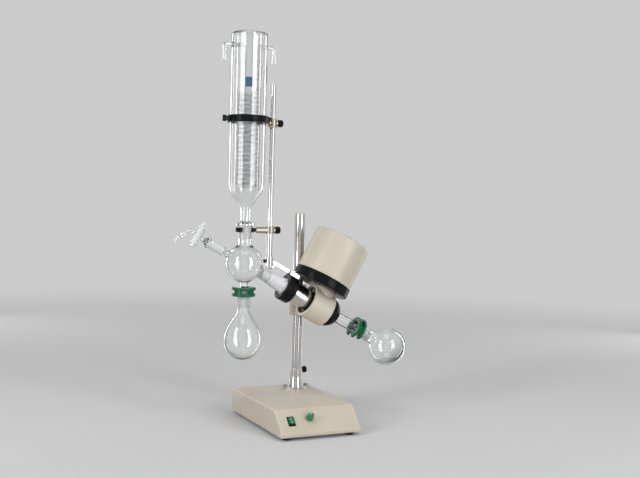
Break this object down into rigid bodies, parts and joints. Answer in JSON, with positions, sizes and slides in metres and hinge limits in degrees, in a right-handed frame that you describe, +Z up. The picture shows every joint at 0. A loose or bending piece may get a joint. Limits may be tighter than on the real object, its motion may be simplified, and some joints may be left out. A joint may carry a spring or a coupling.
{
  "type": "rotary evaporator",
  "caption": "Bench rotary evaporator with a tilting, lifting drive head, upright coil condenser, round evaporating flask, receiving flask and box base with speed control.",
  "frame": {"origin": "middle of the base's footprint, on the bench", "axes": "+X to the right along the control panel, +Y to the back, +Z up"},
  "size_m": [0.547, 0.284, 0.824],
  "materials": {
    "base_paint": "satin",
    "head_paint": "satin",
    "cover_paint": "satin",
    "black_enamel": "gloss",
    "black_plastic": "satin",
    "bright_steel": "polished",
    "plain_steel": "satin",
    "fasteners": "satin",
    "iron": "matte",
    "zinc_sheet": "satin",
    "feet_rubber": "matte",
    "seal_rubber": "matte",
    "seal_ptfe": "satin",
    "clear_glass": "polished",
    "coil_glass": "polished",
    "green_clip": "satin",
    "green_lens": "gloss",
    "white_nut": "satin",
    "motor_iron": "satin",
    "armature_iron": "satin",
    "gear_steel": "satin",
    "gear_polymer": "satin",
    "bearing_steel": "polished",
    "board": "satin",
    "transformer": "matte"
  },
  "bodies": {
    "base": {"base_housing": "base_paint", "bottom_plate": "zinc_sheet", "rubber_feet": "feet_rubber", "foot_screws": "fasteners", "base_weight": "iron", "column_socket": "bright_steel", "socket_screws": "fasteners", "switch_frame": "black_plastic", "speed_control": "plain_steel", "power_inlet": "black_plastic", "motor_lead_socket": "plain_steel", "control_board": "board", "transformer": "transformer"},
    "rocker": {"switch_rocker": "green_lens"},
    "speed_knob": {"speed_knob": "green_clip"},
    "column_knob": {"column_lock_knob": "black_plastic"},
    "column": {"column_tube": "bright_steel"},
    "carriage": {"clamp_sleeve": "head_paint", "tilt_lock_screw": "fasteners"},
    "sleeve_knob": {"sleeve_lock_knob": "black_plastic"},
    "head": {"gear_housing": "head_paint", "end_plate": "black_enamel", "tilt_pin": "plain_steel", "neck_tube": "bright_steel", "neck_collar": "black_enamel", "support_arm": "bright_steel", "arm_screws": "bright_steel", "flask_side_cap": "black_enamel", "spindle_bearings": "bearing_steel", "spindle_seal": "seal_rubber", "shaft_seal": "seal_ptfe", "motor_flange": "black_enamel", "motor_cover": "cover_paint", "motor_body": "motor_iron", "motor_screws": "fasteners", "motor_bearings": "bearing_steel", "glass_distributor": "clear_glass", "feed_adapter": "clear_glass", "condenser_jacket": "clear_glass", "cooling_coil": "coil_glass", "receiver_clip": "green_clip", "receiving_flask": "clear_glass", "support_rod": "bright_steel", "lower_clamp": "plain_steel", "lower_clamp_jaws": "black_enamel"},
    "nut": {"coupling_nut": "white_nut"},
    "rotor": {"drive_spindle": "bright_steel", "crown_wheel": "gear_polymer", "vapour_duct": "clear_glass", "flask_clip": "green_clip", "evaporating_flask": "clear_glass"},
    "motor_rotor": {"motor_shaft": "gear_steel", "drive_pinion": "gear_steel", "motor_armature": "armature_iron"},
    "stopcock": {"stopcock_key": "seal_ptfe"},
    "upper_clamp": {"upper_clamp": "plain_steel", "upper_clamp_ring": "black_enamel"},
    "upper_knob": {"upper_clamp_knob": "black_plastic"},
    "lower_knob": {"lower_clamp_knob": "black_plastic"},
    "arm_thumb": {"arm_thumbscrew": "black_plastic"}
  },
  "joints": [
    {"name": "column_turn", "type": "hinge", "parent": "base", "child": "column", "pos_m": [0.0445, 0.0927, 0.1], "axis": [0, 0, 1], "continuous": true},
    {"name": "head_lift", "type": "slide", "parent": "column", "child": "carriage", "axis": [0, 0, 1], "range_m": [-0.025, 0.11]},
    {"name": "head_tilt", "type": "hinge", "parent": "carriage", "child": "head", "pos_m": [0.0445, 0.0638, 0.2565], "axis": [0, 1, 0], "range_deg": [-20, 15]},
    {"name": "motor_spin", "type": "hinge", "parent": "head", "child": "motor_rotor", "pos_m": [0.0822, 0.013, 0.33843], "axis": [0.4756, 0, 0.8796], "continuous": true},
    {"name": "flask_spin", "type": "hinge", "parent": "head", "child": "rotor", "pos_m": [0.06359, 0.013, 0.24618], "axis": [0.8796, 0, -0.4756], "continuous": true},
    {"name": "switch_tip", "type": "hinge", "parent": "base", "child": "rocker", "pos_m": [-0.0605, -0.11808, 0.03409], "axis": [1, 0, 0], "range_deg": [0, 12]},
    {"name": "speed_knob_turn", "type": "hinge", "parent": "base", "child": "speed_knob", "pos_m": [-0.0193, -0.11688, 0.03812], "axis": [0, -0.7071, 0.7071], "range_deg": [-140, 140]},
    {"name": "column_knob_turn", "type": "hinge", "parent": "base", "child": "column_knob", "pos_m": [0.0593, 0.0927, 0.098], "axis": [1, 0, 0], "range_deg": [0, 270]},
    {"name": "sleeve_knob_turn", "type": "hinge", "parent": "carriage", "child": "sleeve_knob", "pos_m": [0.0445, 0.1131, 0.2745], "axis": [0, 1, 0], "range_deg": [0, 270]},
    {"name": "nut_turn", "type": "hinge", "parent": "head", "child": "nut", "pos_m": [-0.03845, 0.013, 0.30135], "axis": [-0.8796, 0, 0.4756], "range_deg": [0, 330]},
    {"name": "stopcock_turn", "type": "hinge", "parent": "head", "child": "stopcock", "pos_m": [-0.22186, 0.013, 0.40052], "axis": [0.4756, 0, 0.8796], "continuous": true},
    {"name": "upper_clamp_slide", "type": "slide", "parent": "head", "child": "upper_clamp", "axis": [0, 0, 1], "range_m": [-0.1, 0.05]},
    {"name": "upper_knob_turn", "type": "hinge", "parent": "upper_clamp", "child": "upper_knob", "pos_m": [-0.0516, 0.013, 0.64], "axis": [1, 0, 0], "range_deg": [0, 270]},
    {"name": "lower_knob_turn", "type": "hinge", "parent": "head", "child": "lower_knob", "pos_m": [-0.0516, 0.013, 0.4146], "axis": [1, 0, 0], "range_deg": [0, 270]},
    {"name": "arm_thumb_turn", "type": "hinge", "parent": "head", "child": "arm_thumb", "pos_m": [-0.0704, 0.013, 0.349], "axis": [-1, 0, 0], "range_deg": [0, 270]}
  ],
  "couplings": [
    {"joint": "flask_spin", "follows": "motor_spin", "ratio": -0.28571}
  ]
}
